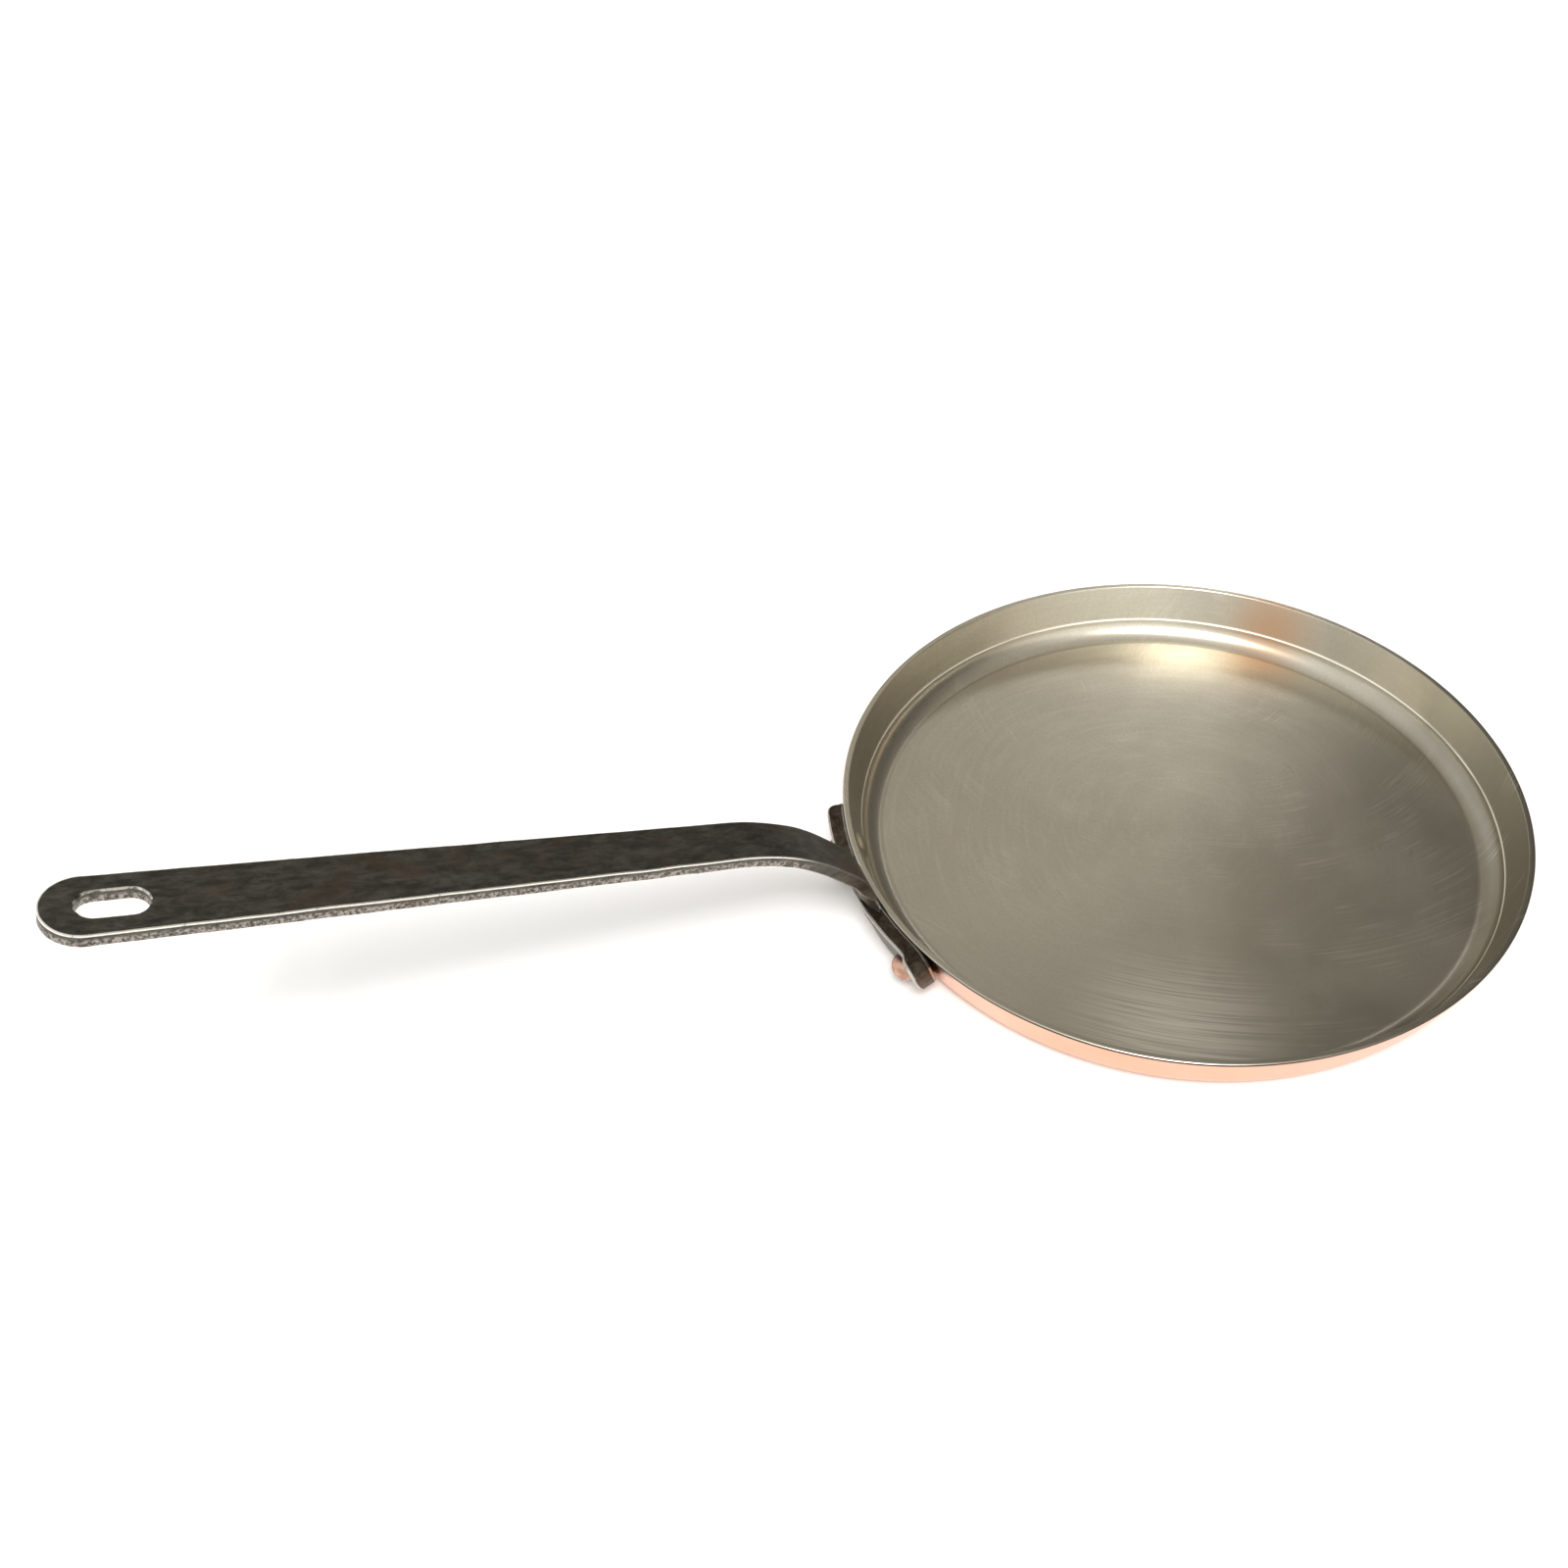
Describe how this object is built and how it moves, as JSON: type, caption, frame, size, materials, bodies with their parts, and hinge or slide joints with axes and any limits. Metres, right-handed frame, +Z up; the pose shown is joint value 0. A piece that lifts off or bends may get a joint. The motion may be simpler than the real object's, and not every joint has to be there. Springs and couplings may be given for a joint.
{
  "type": "crepe pan",
  "caption": "Shallow round copper crepe pan with a tin-lined flat floor, low flared wall and a long flat iron strap handle riveted on through a curved bracket.",
  "frame": {"origin": "centre of the flat underside of the pan's base", "axes": "+Z up out of the pan, -X along the handle, towards its tail"},
  "size_m": [0.4863, 0.2396, 0.1121],
  "materials": {
    "copper": "polished copper",
    "tin": "hand-wiped tin, satin",
    "forged_iron": "forged, dark and slightly pitted",
    "rivet_copper": "hammered copper"
  },
  "bodies": {
    "root": {"copper_body": "copper", "tin_lining": "tin", "handle_strap": "forged_iron", "handle_bracket": "forged_iron", "left_rivet": "rivet_copper", "right_rivet": "rivet_copper"}
  },
  "joints": []
}
